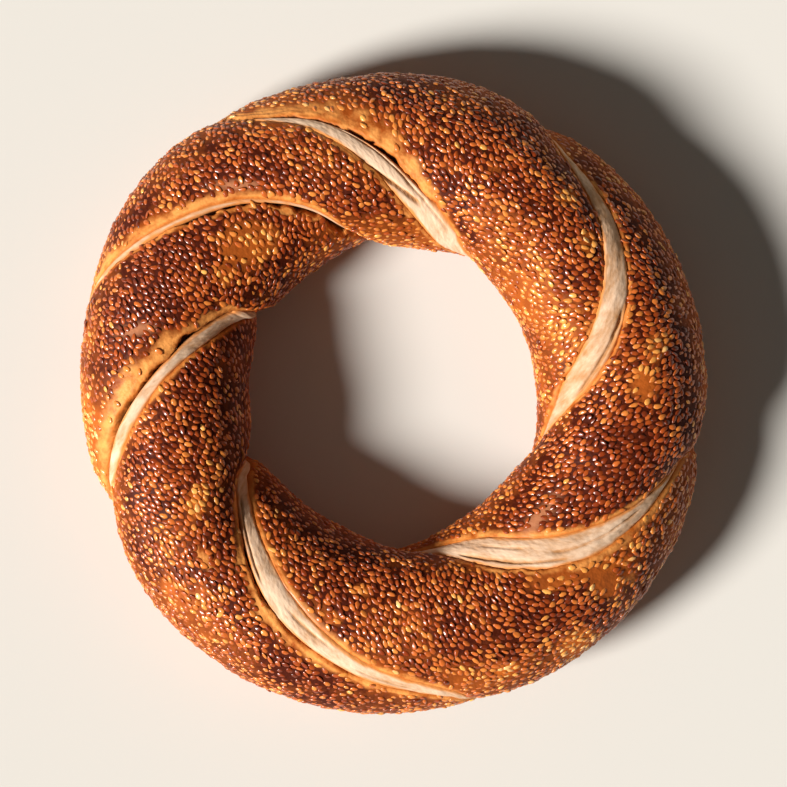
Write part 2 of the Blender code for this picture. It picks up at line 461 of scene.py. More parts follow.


# %% [markdown]
# ## Bare and pale patches
#
# The seeds don't cover everything. Here and there the crust swelled into a shiny blister, which also carries
# a painted pinkish highlight, syrup pooled into a dark glaze, the crust rubbed off to gold, or a cluster of
# seeds stayed pale or lies thin. Some patches hold painted light on the flanks that face the lamp, and some
# are drawn darker on the tops. Each patch is an oval in plan, and the crust, the seeds and the finishes all
# ask the same function how far inside it they are.

# %% Patches in plan
# Millimetres from the middle of the ring, and degrees anticlockwise from +X.
Patch = namedtuple("Patch", "x y length width direction")
# Shiny bare blisters; each also carries a painted pinkish highlight.
SHINY = (
    Patch(-45, 57.5, 13, 2.6, 0),
    Patch(-73, 16.5, 10, 3.2, 10),
    Patch(41, -36, 14, 3.6, 49),
    Patch(-25.6, -63, 17, 2.4, -46),
)
GLAZED = (Patch(58.7, -54.8, 12.5, 8.4, -43),)
SMOOTH = (
    Patch(70, 1.2, 10, 6.5, 90),
    Patch(-43, 38, 9, 4.5, -35),
    Patch(-50, 34, 5, 3, 0),
    Patch(28, 62, 4, 3, 0),
)
GOLDEN = (
    Patch(-54, -48, 9, 3.6, -50),
    Patch(66.1, -52.6, 6, 4, -70),
)
THIN = (
    Patch(-43, 41, 17, 15, 45),
    Patch(50, -52.5, 32, 7, 16),
    Patch(-20, -63, 12, 5, -38),
)
# Painted light: these patches are drawn lighter because the flanks there face the lamp.
PAINTED_LIGHT_PATCHES = (
    Patch(38, 30, 66, 17, 122),
    Patch(-84, -20, 36, 13, 104),
    Patch(-55, -64, 26, 12, 140),
)
# Patches drawn darker on the tops of the strands.
DARKER_PATCHES = (
    Patch(62, -23, 34, 18, 70),
    Patch(-68, 26, 36, 15, 70),
    Patch(-57, 3, 22, 10, 95),
)
PALE_SEEDS = (
    Patch(-38, 43, 14, 9, -30),
    Patch(-48, 32, 7, 6, 0),
    Patch(54.5, 41, 7, 5, 60),
    Patch(48.5, 54.5, 7, 4, 0),
    Patch(74, 11.5, 9, 6, 70),
    Patch(52, -72, 12, 7, 35),
    Patch(31, -79.5, 7, 4, 15),
    Patch(-56, -31.5, 9, 5, 80),
    Patch(-10, -57.5, 6, 4, 0),
)
print("bare patches:", len(SHINY + GLAZED + SMOOTH + GOLDEN), "and clusters of pale seeds:", len(PALE_SEEDS))


def inside(patches, points, softness=0.35):
    """1 inside any of the ovals on the top of the ring, fading to 0 at their edges."""
    ragged = 0.30 * cloud(points, 2.5 * MM, 16)
    most = np.zeros(points.shape[:-1])
    for patch in patches:
        away = points[..., :2] + MIDDLE[:2] - np.array([patch.x, patch.y]) * MM
        lean = math.radians(patch.direction)
        along = away @ [math.cos(lean), math.sin(lean)] / (patch.length / 2 * MM)
        over = away @ [-math.sin(lean), math.cos(lean)] / (patch.width / 2 * MM)
        most = np.maximum(most, 1 - ease(1 - softness, 1 + softness, np.hypot(along, over) + ragged))
    return most * ease(0.35 * HEIGHT, 0.5 * HEIGHT, points[..., 2])


# %% [markdown]
# ## The crust
#
# The crust is one closed sheet. It could be two ropes joined with a Boolean, but the join would be sharp and
# the faces ragged just where the eye goes. Instead the grid itself follows the twist: its lines
# run along the strands, crowd together near the two boundaries where the lips and grooves are, and
# spread out under the seeds. Going once round the ring they turn three times and meet themselves.

# %% Grid lines that follow the strands
ROWS = 580
NEAR_LINES = 24
NEAR_REACH = 8.0 * MM
PLAIN_LINES = 36


def strand_lines(clockwise, edge_from, edge_to):
    """Section angles of the grid lines across one strand, from one boundary up to the next.

    Near each boundary the lines lie at fixed distances, square to it, that grow away from it. If
    the strand is narrow they are squeezed into its nearest 42%. Plain lines fill the rest evenly.
    """
    start = read(edge_from["angle"], clockwise)[:, None]
    span = np.mod(read(edge_to["angle"], clockwise)[:, None] - start, TURN)
    even = np.arange(NEAR_LINES) / NEAR_LINES
    offsets = NEAR_REACH * (0.62 * even + 0.38 * even**2.5)[None, :]

    def near(edge, sign):
        """Degrees from a boundary to the lines on one side of it."""
        at = read(edge["angle"], clockwise)[:, None]
        wide = np.abs(beside(edge, clockwise[:, None], sign * offsets) - at)
        return wide * np.minimum(1, 0.42 * span / wide[:, -1:])

    from_start = near(edge_from, 1)
    from_end = span - near(edge_to, -1)[:, ::-1]
    fill = np.linspace(0, 1, PLAIN_LINES + 2)[None, 1:-1]
    plain = from_start[:, -1:] + fill * (from_end[:, :1] - from_start[:, -1:])
    return start + np.hstack([from_start, plain, from_end[:, :-1]])


# %% Crust mesh
def bake_and_painted_light(points):
    """How dark the crust and the seeds are drawn, about -1 to 1: oven browning in clouds of two sizes, less
    on the bare and pale patches. The rise towards the top, darker above and lighter down the sides, is
    partly oven browning and partly painted shade on the tops and painted light on the flanks. The
    patches of painted light are lighter and the darker patches darker."""
    return (0.55 * cloud(points, 22 * MM, 21) + 0.40 * cloud(points, 8 * MM, 22)
            + 1.8 * (points[..., 2] / HEIGHT - 0.68)
            - 1.1 * inside(SMOOTH + GLAZED + PALE_SEEDS + THIN, points)
            - 0.7 * inside(PAINTED_LIGHT_PATCHES, points) + 0.6 * inside(DARKER_PATCHES, points))


row_clockwise = np.arange(ROWS) * TURN / ROWS
section = np.hstack([strand_lines(row_clockwise, boundaries[1], boundaries[0]),
                     strand_lines(row_clockwise, boundaries[0], boundaries[1])])
clockwise = np.broadcast_to(row_clockwise[:, None], section.shape)
shape = crust_shape(clockwise, section)
crust_points = dough(clockwise, section, shape["depth"])
gold = np.maximum(shape["golden"], 0.9 * inside(GOLDEN, crust_points))
crust = make_piece("crust", crust_points.reshape(-1, 3), [closed_grid(*section.shape)],
                   dict(golden=gold, groove=shape["groove"], brink=shape["brink"], bake_and_painted_light=bake_and_painted_light(crust_points),
                        painted_glint=inside(SHINY, crust_points, 0.8),
                        shiny=inside(SHINY + GLAZED, crust_points, 0.8)))
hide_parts("simit")

# %% [markdown]
# ## The torn dough
#
# Where the crust splits, the inside of the dough wells up between its two lips: pale, dry, and drawn out
# into fibres along the seam. Each split is its own closed ribbon, so that the dark cracks beside it
# are real gaps. Its cross-section is a low crown. Where the crust has come away its edge turns down into
# the gap, and elsewhere it slips under the crust, so that the two meet without a crease.

# %% Shape of the torn dough
ALONG_STEP = 0.36 * MM
ACROSS_POINTS = 31
RIBBON_THICKNESS = 2.2 * MM
TUCK = 0.9 * MM
RISE = 0.05 * MM
CROWN = 0.05
TOASTED = (0.14, 0.48, 0.24, 0.20, 0.30, 0.45)    # how brown each split is, 0 to 1


def along_seam(edge, turn):
    """Even steps of length along a split, from where it opens to where it closes: clockwise and length."""
    ends = [np.interp(TURN * turn + a, edge["angle"], clock) for a in (-30, 210)]
    fine = np.linspace(*ends, 3000)
    fine = fine[read(edge["width"], fine) > 0.1 * MM]
    path = place(fine, read(edge["angle"], fine), 0)
    length = np.concatenate([[0], np.cumsum(np.linalg.norm(np.diff(path, axis=0), axis=1))])
    even = np.linspace(0, length[-1], int(length[-1] / ALONG_STEP))
    return np.interp(even, length, fine)[:, None], even[:, None]


def flat_points(x, y):
    """Points (x, y, 0) from two lengths, for `cloud` to read."""
    return np.stack(np.broadcast_arrays(x, y, 0 * y), -1)


def tears(number, turned, c, wobble):
    """Depth of a split's deeper tears: for each, a narrow bell across that fades at its two ends."""
    depth = 0 * c
    for tear in TEARS:
        if tear.split == number:
            t = np.clip((turned - tear.start) / (tear.end - tear.start), 0, 1)
            middle = tear.across_start + t * (tear.across_end - tear.across_start)
            begun = ease(tear.start - 5, tear.start + 3, turned)
            fade = begun * (1 - ease(tear.end - 3, tear.end + 5, turned))
            bell = np.exp(-((c - middle - 0.05 * wobble) / tear.width) ** 2)
            depth = depth + tear.depth * MM * bell * fade
    return depth


def split_depth(number, edge, clockwise, along, offset):
    """Depth of the torn dough's top, how toasted it is with painted shade in its deeper tears, and how
    near its golden fringe.

    It follows the straight line between the crust's two lips, a little above it, less a crown of
    1 - c^2. It is drawn into ridges and fibres along the seam and torn in places, and past its edges it
    turns down as the square of the distance, faster where there is a gap.
    """
    half = read(edge["width"], clockwise) / 2
    gap = on_this_side(edge, "gap", clockwise, offset > 0)
    c = offset / half
    lips = [valley(clockwise, beside(edge, clockwise, sign * half)) for sign in (-1, 1)]
    level = lips[0] + (lips[1] - lips[0]) * (np.clip(c, -1, 1) + 1) / 2
    crown = CROWN * 2 * half * (1 - np.clip(c * c, 0, 1))
    seed = 40 + 9 * number
    flow = flat_points(along / 4, offset)
    spot = flat_points(along / 1.6, offset)
    ridges = cloud(flow, 2.4 * MM, seed)
    fibres = cloud(flow, 0.9 * MM, seed + 1) + 0.6 * cloud(flow, 0.45 * MM, seed + 2)
    crumb = cloud(spot, 1.3 * MM, seed + 3) + 0.7 * cloud(spot, 0.6 * MM, seed + 5)
    wobble = cloud(flow, 0.7 * MM, seed + 4)
    torn = tears(number, np.mod(read(edge["angle"], clockwise) + 90, TURN) - 90, c, wobble)
    full = ease(0.2 * MM, 1.6 * MM, half)
    past = np.maximum(np.abs(offset) - half + 0.45 * MM, 0) / MM
    turned_down = 0.45 * MM * (past * (1 + 2.0 * ease(0, 0.3 * MM, gap))) ** 2
    shut = 1.0 * MM * (1 - ease(0.05 * MM, 0.3 * MM, half))
    depth = (SEED_COAT + level - RISE - crown + torn + turned_down + shut
             + full * MM * (0.24 * ridges + 0.03 * fibres + 0.08 * crumb))
    blotches = cloud(spot, 3.0 * MM, seed + 6)
    # The tears add painted shade: where the dough is torn deepest it is drawn fully toasted.
    toast_and_tear_shade = TOASTED[number] + 0.16 * ridges + 0.34 * blotches + 0.14 * crumb + torn / MM
    fringe = 1 - ease(0.0, 1.0, (half - np.abs(offset)) / (1.1 * MM) + 0.35 * wobble + 0.25 * ridges)
    return depth, np.clip(toast_and_tear_shade, 0, 1), fringe


# %% torn_ribbon
def torn_ribbon(number):
    """Points, faces and values of one closed ribbon: its top, a copy below it, and a point at each end.

    Across it the points crowd towards the edges: c is u (1.25 - 0.25 u^2) for even u from -1 to 1.
    """
    edge, turn = boundaries[number % 2], number // 2
    clockwise, along = along_seam(edge, turn)
    u = np.linspace(-1, 1, ACROSS_POINTS)[None, :]
    c = u * (1.25 - 0.25 * u * u)
    gap = on_this_side(edge, "gap", clockwise, c > 0)
    reach = read(edge["width"], clockwise) / 2 + TUCK * (1 - ease(0, 0.3 * MM, gap))
    ragged = 1 + 0.07 * cloud(flat_points(along, np.sign(c) * MM), 2.5 * MM, number)
    offset = c * reach * ragged
    section = beside(edge, clockwise, offset)
    depth, toast_and_tear_shade, fringe = split_depth(number, edge, clockwise, along, offset)
    points = dough(clockwise, np.hstack([section, section[:, ::-1]]),
                   np.hstack([depth, depth[:, ::-1] + RIBBON_THICKNESS]))
    ends = points[[0, -1]].mean(axis=1)
    points = points.reshape(-1, 3)
    faces = tube_faces(np.arange(len(points)).reshape(len(along), -1), len(points), len(points) + 1)
    both = {"fringe": fringe, "toast_and_tear_shade": toast_and_tear_shade, "along": along + 0 * offset, "across": offset}
    values = {name: np.append(np.hstack([v, v[:, ::-1]]).ravel(), [v[0, 0], v[-1, 0]])
              for name, v in both.items()}
    return np.vstack([points, ends]), faces, values


splits = []
for number in range(len(SEAMS)):
    ribbon = make_piece(f"split_{number + 1}", *torn_ribbon(number))
    splits.append(ribbon)

# %% [markdown]
# ## Sesame
#
# A toasted sesame seed is a flat teardrop, 3 mm long. Thousands of them stick to the syrup, side by side but
# not on top of each other, roughly lined up where the ring was rolled. Particles would look the
# same here but wouldn't export, so the seeds are joined meshes made from arrays: one teardrop of a few
# dozen faces, copied to every place at once. The seeds keep their distance by an ellipse test: a
# place is dropped if it lies inside the ellipse of a seed that is already there.

# %% Where seeds can lie
SEED_LENGTH, SEED_WIDTH, SEED_THICKNESS = 2.85 * MM, 1.78 * MM, 1.00 * MM
ROOM_LENGTH, ROOM_WIDTH = 1.85 * MM, 1.18 * MM
CANDIDATES = 620000

rng = np.random.default_rng(7)
spot_clockwise = rng.uniform(0, TURN, CANDIDATES)
spot_section = rng.uniform(0, TURN, CANDIDATES)
radius = read(middle_table, spot_clockwise) + read(half_width_table, spot_clockwise) * np.cos(
    np.radians(spot_section))
area = stretch(spot_clockwise, spot_section) * radius
kept = rng.uniform(0, 1, CANDIDATES) < area / area.max()
spot_clockwise, spot_section = spot_clockwise[kept], spot_section[kept]
print("candidate places:", len(spot_clockwise))


# %% The crust under a seed, and its outward direction
def unit(vectors):
    """The same directions with length 1."""
    return vectors / np.linalg.norm(vectors, axis=-1, keepdims=True)


def outward(clockwise, section):
    """Outward direction of the crust with its valleys but none of its fine relief: the cross product of
    the steps to the points a little either side, along the ring and across it."""
    def at(dc, ds):
        """The crust's points at these angles plus small steps."""
        return dough(clockwise + dc, section + ds, SEED_COAT + valley(clockwise + dc, section + ds))
    step = 0.4
    return unit(np.cross(at(step, 0) - at(-step, 0), at(0, step) - at(0, -step)))


# %% Thinning near the splits and on the bare patches
spot_shape = crust_shape(spot_clockwise, spot_section)
spot_points = dough(spot_clockwise, spot_section, spot_shape["depth"])
chance = 1 - 0.995 * ease(0.12, 0.60, spot_shape["golden"])
chance *= ease(0.5 * MM, 1.0 * MM, spot_shape["beyond"])
chance *= 1 - inside(SHINY + GLAZED + SMOOTH + GOLDEN, spot_points)
kept = rng.uniform(0, 1, len(chance)) < chance
spot_points, spot_gold = spot_points[kept], spot_shape["golden"][kept]
spot_normals = outward(spot_clockwise[kept], spot_section[kept])
sparse = ease(0.1, 0.8, cloud(spot_points, 17 * MM, 31)) + 1.5 * spot_gold + 3.0 * inside(THIN, spot_points)
print("places after thinning:", len(spot_points))

# %% The way the seeds lie
# Aslant in plan, turned by 75 degrees at the near right, swaying with the clouds and a little by chance.
swing = np.radians(-45 + 75 * ease(0.02, 0.06, spot_points[:, 0]) * ease(-0.05, -0.01, -spot_points[:, 1])
                   + 25 * cloud(spot_points, 16 * MM, 32) + rng.normal(0, 20, len(spot_points)))
lie = np.stack([np.cos(swing), np.sin(swing), 0.3 + 0 * swing], axis=-1)
lie = unit(lie - (lie * spot_normals).sum(-1, keepdims=True) * spot_normals)
side = np.cross(spot_normals, lie)


def tree_of(points):
    """A tree that finds the points near a place."""
    tree = KDTree(len(points))
    for i, point in enumerate(points):
        tree.insert(point, i)
    tree.balance()
    return tree


def side_by_side(points, lie, side, room):
    """Indices of the places kept, in order: each one drops the later ones inside its ellipse."""
    tree = tree_of(points)
    dropped = np.zeros(len(points), bool)
    kept = []
    for i in range(len(points)):
        if dropped[i]:
            continue
        kept.append(i)
        close = np.array([j for _, j, _ in tree.find_range(points[i], ROOM_LENGTH * room[i])])
        away = points[close] - points[i]
        near = ((away @ lie[i] / (ROOM_LENGTH * room[i])) ** 2
                + (away @ side[i] / (ROOM_WIDTH * room[i])) ** 2) < 1
        dropped[close[near]] = True
    return np.array(kept)


kept = side_by_side(spot_points, lie, side, 1 + 0.10 * sparse)
seed_points, seed_normals, lie, side = spot_points[kept], spot_normals[kept], lie[kept], side[kept]
seed_gold = spot_gold[kept]
print("seeds:", len(kept))

# %% Shouldering one another aside
ROUNDS = 8
SHARE_LENGTH, SHARE_WIDTH = 2.55 * MM, 1.60 * MM
FARTHEST = 0.7 * MM


def shoulder(points, lie, side):
    """The places after each has been pushed off the neighbours that lie inside its ellipse.

    Distances are measured in ellipse lengths and widths. A neighbour nearer than 1 pushes by a third of
    what is missing, along the crust, and all the places move together, a few rounds over.
    """
    tree = tree_of(points)
    near = [[j for _, j, _ in tree.find_range(point, SHARE_LENGTH) if j != i]
            for i, point in enumerate(points)]
    here = np.repeat(np.arange(len(points)), [len(found) for found in near])
    there = np.concatenate([np.array(found, int) for found in near])
    start = points.copy()
    for _ in range(ROUNDS):
        away = points[there] - points[here]
        x = (away * lie[here]).sum(-1) / SHARE_LENGTH
        y = (away * side[here]).sum(-1) / SHARE_WIDTH
        q = np.maximum(np.hypot(x, y), 0.05)
        push = np.maximum(1 - q, 0) / 3 / q
        move_x = -np.bincount(here, push * x * SHARE_LENGTH, len(points))[:, None]
        move_y = -np.bincount(here, push * y * SHARE_WIDTH, len(points))[:, None]
        points = points + move_x * lie + move_y * side
        drift = points - start
        far = np.linalg.norm(drift, axis=-1, keepdims=True)
        points = start + drift * np.minimum(1, FARTHEST / np.maximum(far, 1e-9))
    return points


unpushed = seed_points
seed_points = shoulder(unpushed, lie, side)
print(f"pushed by {np.linalg.norm(seed_points - unpushed, axis=-1).mean() / MM:.2f} mm on average")

# %% One teardrop, copied to every place
SEED_SIDES = 6
SEED_RINGS = np.array([0.14, 0.42, 0.76])
TILT, ROLL = 0.15, 0.22
UNEVEN, LEAST, MOST = 0.08, 0.8, 1.2
PRESSED_FLAT = 0.55


def teardrop():
    """Points (length, width, thickness from -1/2 to 1/2), faces and how far along each point lies.

    u runs from the blunt end to the tip. The outline is sin(pi u^0.75)^0.8, widest at two fifths.
    """
    around = np.arange(SEED_SIDES) * 2 * np.pi / SEED_SIDES
    girth = np.sin(np.pi * SEED_RINGS**0.75) ** 0.8 / 2
    rings = np.stack([np.repeat(SEED_RINGS - 0.5, SEED_SIDES),
                      np.outer(girth, np.cos(around)).ravel(),
                      np.outer(girth, np.sin(around)).ravel()], axis=-1)
    points = np.vstack([[-0.5, 0, 0], rings, [0.5, 0, 0]])
    grid = 1 + np.arange(len(SEED_RINGS) * SEED_SIDES).reshape(-1, SEED_SIDES)
    return points, tube_faces(grid, 0, len(points) - 1), points[:, 0] + 0.5


def strew(name, chosen):
    """One piece of joined seeds at the chosen places, each with its own size, tilt, sinking and tone."""
    count = len(chosen)
    drop, faces, along = teardrop()
    n, t, s = seed_normals[chosen], lie[chosen], side[chosen]
    facing = np.where(seed_rng.uniform(0, 1, count) < 0.5, 1, -1)[:, None]
    t, s = t * facing, s * facing
    tilt, roll = (seed_rng.normal(0, spread, count)[:, None] for spread in (TILT, ROLL))
    t = unit(t + tilt * n)
    s = unit(s + roll * n)
    up = np.cross(t, s)
    size = seed_rng.normal(1, UNEVEN, (count, 3)).clip(LEAST, MOST)
    size = size * [SEED_LENGTH, SEED_WIDTH, SEED_THICKNESS]
    under = n[:, 2] < -0.8
    size[under, 2] *= PRESSED_FLAT
    raised = np.where(under, 0.05, 0.30 - 0.10 * seed_gold[chosen] + 0.11 * seed_rng.normal(0, 1, count)) * MM
    centre = seed_points[chosen] + n * raised[:, None]
    local = drop[None] * size[:, None]
    points = (centre[:, None] + local[..., :1] * t[:, None] + local[..., 1:2] * s[:, None]
              + local[..., 2:] * up[:, None])
    points[..., 2] = np.maximum(points[..., 2], 0.0)
    offset = (np.arange(count) * len(drop))[:, None, None]
    values = dict(tone=np.repeat(seed_rng.uniform(-1, 1, count), len(drop)), tip=np.tile(along, count))
    piece = make_piece(name, points.reshape(-1, 3),
                       [(each + offset).reshape(-1, each.shape[1]) for each in faces], values)
    return piece


# %% Seeds by how far they have toasted, and by painted light and shade
SEED_KINDS = ("dark", "chestnut", "brown", "amber", "golden", "pale")
KIND_LIMITS = (-0.95, -0.40, 0.10, 0.70, 1.40)
seed_rng = np.random.default_rng(8)
# The crust's browning values carry painted light and shade, so the seeds too are sorted lighter on the flanks
# that face the lamp and darker on the tops.
lightness = (-0.85 * bake_and_painted_light(seed_points) + seed_rng.normal(0, 0.50, len(seed_points)) + 0.9 * seed_gold
             + 0.35 * inside(PALE_SEEDS, seed_points))
kind_of = np.digitize(lightness, KIND_LIMITS)
seeds = {kind: strew(f"sesame_{kind}", np.flatnonzero(kind_of == i)) for i, kind in enumerate(SEED_KINDS)}

# %% [markdown]
# ## Finishes
#
# Everything here has been browned by the same oven, so one node group, `browning`, does the browning for
# all three materials: it mottles between a pale and a brown colour, by an amount that each material
# brings. Another, `baked skin`, gives the fine pimples and wrinkles that light catches on.

# %% Small helpers for nodes
def linear(hex_text):
    """A colour as the shader wants it, from six hex digits as a paint chart gives it."""
    value = np.array([int(hex_text[i:i + 2], 16) for i in (1, 3, 5)]) / 255
    return (*np.where(value <= 0.04045, value / 12.92, ((value + 0.055) / 1.055) ** 2.4), 1.0)


def connect(tree, target, inputs):
    """Give a node its inputs: a socket is linked, and a plain value is set."""
    for key, value in inputs.items():
        if isinstance(value, bpy.types.NodeSocket):
            tree.links.new(value, target.inputs[key])
        else:
            target.inputs[key].default_value = value


def node(tree, kind, inputs=None, **settings):
    """A new node with its settings and inputs."""
    made = tree.nodes.new(kind)
    for key, value in settings.items():
        setattr(made, key, value)
    connect(tree, made, inputs or {})
    return made


def maths(tree, operation, *values):
    """A Math node on two or three values or sockets. MULTIPLY_ADD is the first times the second, plus
    the third."""
    return node(tree, "ShaderNodeMath", dict(enumerate(values)), operation=operation).outputs[0]


def mix_colours(tree, share, one, other):
    """The colour one + share * (other - one). A Mix node's colours are its inputs 6 and 7."""
    return node(tree, "ShaderNodeMix", {"Factor": share, 6: one, 7: other}, data_type="RGBA").outputs[2]


def group(name, inputs, outputs):
    """An empty node group with typed inputs and outputs, and its two end nodes."""
    tree = bpy.data.node_groups.new(name, "ShaderNodeTree")
    for label, (kind, value) in inputs.items():
        socket = tree.interface.new_socket(label, in_out="INPUT", socket_type=kind)
        socket.default_value = value
    for label, kind in outputs.items():
        tree.interface.new_socket(label, in_out="OUTPUT", socket_type=kind)
    return tree, tree.nodes.new("NodeGroupInput"), tree.nodes.new("NodeGroupOutput")


FLOAT, COLOUR, VECTOR = "NodeSocketFloat", "NodeSocketColor", "NodeSocketVector"

# %% browning: pale to brown, mottled
browning, given, result = group(
    "browning",
    {"Position": (VECTOR, (0, 0, 0)), "Pale": (COLOUR, (1, 1, 1, 1)), "Brown": (COLOUR, (0, 0, 0, 1)),
     "Amount": (FLOAT, 0.5), "Mottle": (FLOAT, 0.3), "Lumps per metre": (FLOAT, 300.0)},
    {"Colour": COLOUR, "Share": FLOAT})
mottle = node(browning, "ShaderNodeTexNoise",
              {"Vector": given.outputs["Position"], "Scale": given.outputs["Lumps per metre"],
               "Detail": 4.0, "Roughness": 0.6})
swung = maths(browning, "MULTIPLY_ADD", maths(browning, "SUBTRACT", mottle.outputs[0], 0.5),
               maths(browning, "MULTIPLY", given.outputs["Mottle"], 2.0), given.outputs["Amount"])
share = node(browning, "ShaderNodeClamp", {"Value": swung}).outputs[0]
mixed = mix_colours(browning, share, given.outputs["Pale"], given.outputs["Brown"])
connect(browning, result, {"Colour": mixed, "Share": share})
print("browning:", len(browning.nodes), "nodes")

# %% baked skin: fine relief
baked_skin, given, result = group(
    "baked skin",
    {"Position": (VECTOR, (0, 0, 0)), "Pimples per metre": (FLOAT, 900.0), "Wrinkle": (FLOAT, 0.5)},
    {"Height": FLOAT})
pimples = node(baked_skin, "ShaderNodeTexNoise",
               {"Vector": given.outputs["Position"], "Scale": given.outputs["Pimples per metre"],
                "Detail": 3.0, "Roughness": 0.55})
cells = node(baked_skin, "ShaderNodeTexVoronoi",
             {"Vector": given.outputs["Position"], "Scale": given.outputs["Pimples per metre"]},
             feature="SMOOTH_F1")
relief = maths(baked_skin, "MULTIPLY_ADD", cells.outputs["Distance"], given.outputs["Wrinkle"],
               pimples.outputs[0])
connect(baked_skin, result, {"Height": relief})
print("baked skin:", len(baked_skin.nodes), "nodes")


# %% Helpers for materials
def new_material(name, roughness, specular, coat, coat_roughness):
    """A Principled material with its even values set on the shader, and its tree and shader."""
    material = bpy.data.materials.new(name)
    material.use_nodes = True
    tree = material.node_tree
    shader = tree.nodes["Principled BSDF"]
    connect(tree, shader, {"Roughness": roughness, "Specular IOR Level": specular, "Coat Weight": coat,
                           "Coat Roughness": coat_roughness})
    return material, tree, shader


def own_position(tree):
    """Each point's own place on the piece, in metres."""
    return node(tree, "ShaderNodeTexCoord").outputs["Object"]


def placed(tree, which, inputs):
    """A group placed in a tree, with its inputs."""
    return node(tree, "ShaderNodeGroup", inputs, node_tree=which)


def attribute(tree, name):
    """A value that the mesh stores for each point."""
    return node(tree, "ShaderNodeAttribute", attribute_name=name).outputs["Fac"]


def bump(tree, shader, height, strength, distance):
    """Relief on a shader: its surface leans by the slope of the height, which is in units of distance."""
    made = node(tree, "ShaderNodeBump", {"Strength": strength, "Distance": distance, "Height": height})
    connect(tree, shader, {"Normal": made.outputs[0]})


def dress(material, pieces):
    """Put a material on some pieces."""
    for piece in pieces:
        piece.data.materials.append(material)
    print(f"{material.name}: {len(material.node_tree.nodes)} nodes; pieces dressed: {len(pieces)}")


# %% [markdown]
# ### The crust's finish
#
# Between the seeds the syrup has baked to a dark red-brown glaze, painted darker still as the shade between
# the seeds, and painted darker on the tops and lighter on the flanks that face the lamp. Beside the splits
# the crust stretched late, so it is only golden there. The walls of the grooves are painted dark brown as
# the shade in the cracks, and the shiny blisters carry a painted pinkish highlight. A coat on the shader is
# the glaze's shine.

# %% The crust's material
GLAZE_DARK_AND_SHADE, GLAZE_BROWN = linear("#431405"), linear("#c1611f")
MARGIN_BROWN, MARGIN_GOLD = linear("#9a4815"), linear("#e2964e")
GROOVE_SHADE, BRINK_BROWN, HIGHLIGHT_PAINT = linear("#3c1c0a"), linear("#b8601f"), linear("#bd7850")

material, tree, shader = new_material("crust glaze", 0.60, 0.09, 0.0, 0.25)
position = own_position(tree)
golden = attribute(tree, "golden")
# The glaze's dark end is partly the real syrup glaze and partly painted shade between the seeds. Its amount
# follows the crust's stored browning value, which is painted darker on the tops and lighter on the flanks
# that face the lamp.
amount = maths(tree, "MULTIPLY_ADD", attribute(tree, "bake_and_painted_light"), 0.62, 0.72)
glaze_and_shade = placed(tree, browning, {"Position": position, "Pale": GLAZE_BROWN, "Brown": GLAZE_DARK_AND_SHADE,
                                "Amount": amount, "Mottle": 0.35, "Lumps per metre": 260.0})
amber = placed(tree, browning, {"Position": position, "Pale": MARGIN_GOLD, "Brown": MARGIN_BROWN,
                                "Amount": maths(tree, "SUBTRACT", 1.25, golden),
                                "Mottle": 1.8, "Lumps per metre": 190.0})
colour = mix_colours(tree, golden, glaze_and_shade.outputs["Colour"], amber.outputs["Colour"])
# Painted highlight: a pinkish pale colour laid on the shiny blisters.
colour = mix_colours(tree, maths(tree, "MULTIPLY", attribute(tree, "painted_glint"), 0.75), colour, HIGHLIGHT_PAINT)
colour = mix_colours(tree, maths(tree, "MULTIPLY", attribute(tree, "brink"), 0.7), colour, BRINK_BROWN)
# Painted shade: the walls of the grooves, seen in the cracks, are drawn dark brown.
colour = mix_colours(tree, attribute(tree, "groove"), colour, GROOVE_SHADE)
rough = maths(tree, "MULTIPLY_ADD", glaze_and_shade.outputs["Share"], -0.12, 0.66)
connect(tree, shader, {"Base Color": colour,
                       "Roughness": maths(tree, "MULTIPLY_ADD", golden, -0.10, rough),
                       "Coat Weight": maths(tree, "MULTIPLY", attribute(tree, "shiny"), 0.6)})
skin = placed(tree, baked_skin, {"Position": position, "Pimples per metre": 900.0, "Wrinkle": 0.6})
bump(tree, shader, skin.outputs["Height"], 0.35, 0.50 * MM)
dress(material, [crust])

# %% [markdown]
# ### The torn dough's finish
#
# Pale crumb that has only just dried: cream on the crown, toasted along its edges and on the tops of the
# folds, and painted brown in the deeper tears as the shade in them. The fibres follow the seam, so their
# pattern reads the ribbon's own two lengths.

# %% The torn dough's material
CRUMB_PALE, CRUMB_TOASTED, CRUMB_FRINGE = linear("#dbba9c"), linear("#b07d4e"), linear("#cd8240")
material, tree, shader = new_material("torn dough", 0.80, 0.3, 0.0, 0.5)
fibre_place = node(tree, "ShaderNodeCombineXYZ",
                   {"X": maths(tree, "MULTIPLY", attribute(tree, "along"), 0.5),
                    "Y": attribute(tree, "across")}).outputs[0]
# The toast value holds real toasting and painted shade in the deeper tears.
crumb = placed(tree, browning, {"Position": fibre_place, "Pale": CRUMB_PALE, "Brown": CRUMB_TOASTED,
                                "Amount": attribute(tree, "toast_and_tear_shade"), "Mottle": 0.6, "Lumps per metre": 900.0})
colour = mix_colours(tree, attribute(tree, "fringe"), crumb.outputs["Colour"], CRUMB_FRINGE)
connect(tree, shader, {"Base Color": colour})
skin = placed(tree, baked_skin, {"Position": fibre_place, "Pimples per metre": 1500.0, "Wrinkle": 0.5})
bump(tree, shader, skin.outputs["Height"], 0.35, 0.30 * MM)
dress(material, splits)

# %% [markdown]
# ### The seeds' finish
#
# Toasted sesame runs from dark caramel to pale gold, even among neighbours, and the syrup leaves a
# thin gloss on it. One function makes a material for each kind. Within a kind every seed has its own
# tone, and its pointed tip is browner than its body.

